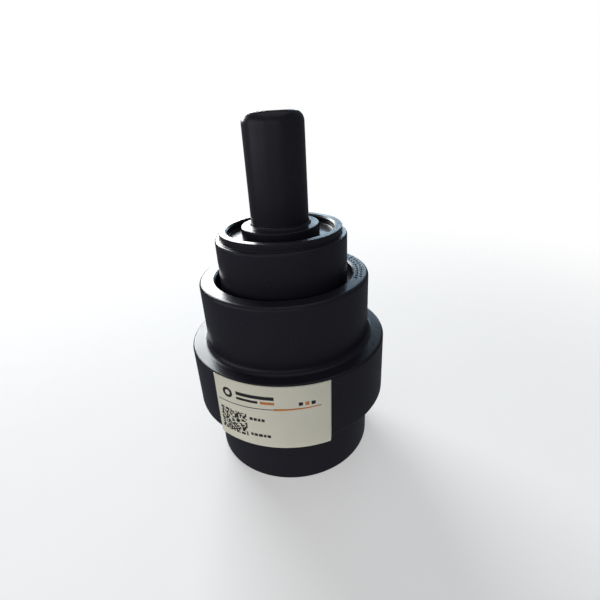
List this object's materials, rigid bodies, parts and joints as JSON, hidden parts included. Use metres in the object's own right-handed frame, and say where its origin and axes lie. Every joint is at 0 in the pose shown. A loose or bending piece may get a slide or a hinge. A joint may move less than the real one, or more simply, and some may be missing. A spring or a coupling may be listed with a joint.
{
  "type": "track roller",
  "caption": "Flanged single-ended roller on a fixed shaft, with sealed ball bearings inside, for the track of a small excavator.",
  "frame": {"origin": "centre of the shell's outer end face, the face the roller stands on", "axes": "+Z along the shaft, from the shell's covered end towards the shaft's bare end; -Y is the side the label faces, +X is to the right when the label is looked at"},
  "size_m": [0.11, 0.1102, 0.1878],
  "materials": {
    "black_paint": "satin black enamel, smooth, over machined steel",
    "bearing_steel": "ground and polished",
    "seal_iron": "fine turned, lapped on the sealing face",
    "spring_steel": "dark phosphated",
    "plug_steel": "zinc plated, satin",
    "copper": "soft copper, dull",
    "rubber": "smooth, matte",
    "cage_plastic": "moulded, satin",
    "label_paper": "coated sticker stock, semi-matte, printed in black and orange"
  },
  "bodies": {
    "axle": {"shaft": "black_paint", "seal_housing": "black_paint", "housing_o_ring": "rubber", "fixed_seal_ring": "seal_iron", "fixed_toric_ring": "rubber", "mount_bearing_inner_race": "bearing_steel", "cover_bearing_inner_race": "bearing_steel", "bearing_spacer": "bearing_steel", "shaft_circlip": "spring_steel"},
    "roller": {"roller_shell": "black_paint", "label": "label_paper", "turning_seal_ring": "seal_iron", "turning_toric_ring": "rubber", "mount_bearing_outer_race": "bearing_steel", "cover_bearing_outer_race": "bearing_steel", "bearing_circlip": "spring_steel", "end_cover": "black_paint", "cover_o_ring": "rubber", "cover_circlip": "spring_steel", "oil_plug": "plug_steel", "plug_washer": "copper"},
    "mount_cage": {"mount_bearing_cage": "cage_plastic", "mount_bearing_balls": "bearing_steel"},
    "cover_cage": {"cover_bearing_cage": "cage_plastic", "cover_bearing_balls": "bearing_steel"}
  },
  "joints": [
    {"name": "roller_spin", "type": "hinge", "parent": "axle", "child": "roller", "pos_m": [0, 0, 0.054], "axis": [0, 0, 1], "continuous": true},
    {"name": "mount_cage_spin", "type": "hinge", "parent": "axle", "child": "mount_cage", "pos_m": [0, 0, 0.074], "axis": [0, 0, 1], "continuous": true},
    {"name": "cover_cage_spin", "type": "hinge", "parent": "axle", "child": "cover_cage", "pos_m": [0, 0, 0.024], "axis": [0, 0, 1], "continuous": true}
  ],
  "couplings": [
    {"joint": "mount_cage_spin", "follows": "roller_spin", "ratio": 0.60326},
    {"joint": "cover_cage_spin", "follows": "roller_spin", "ratio": 0.60326}
  ]
}
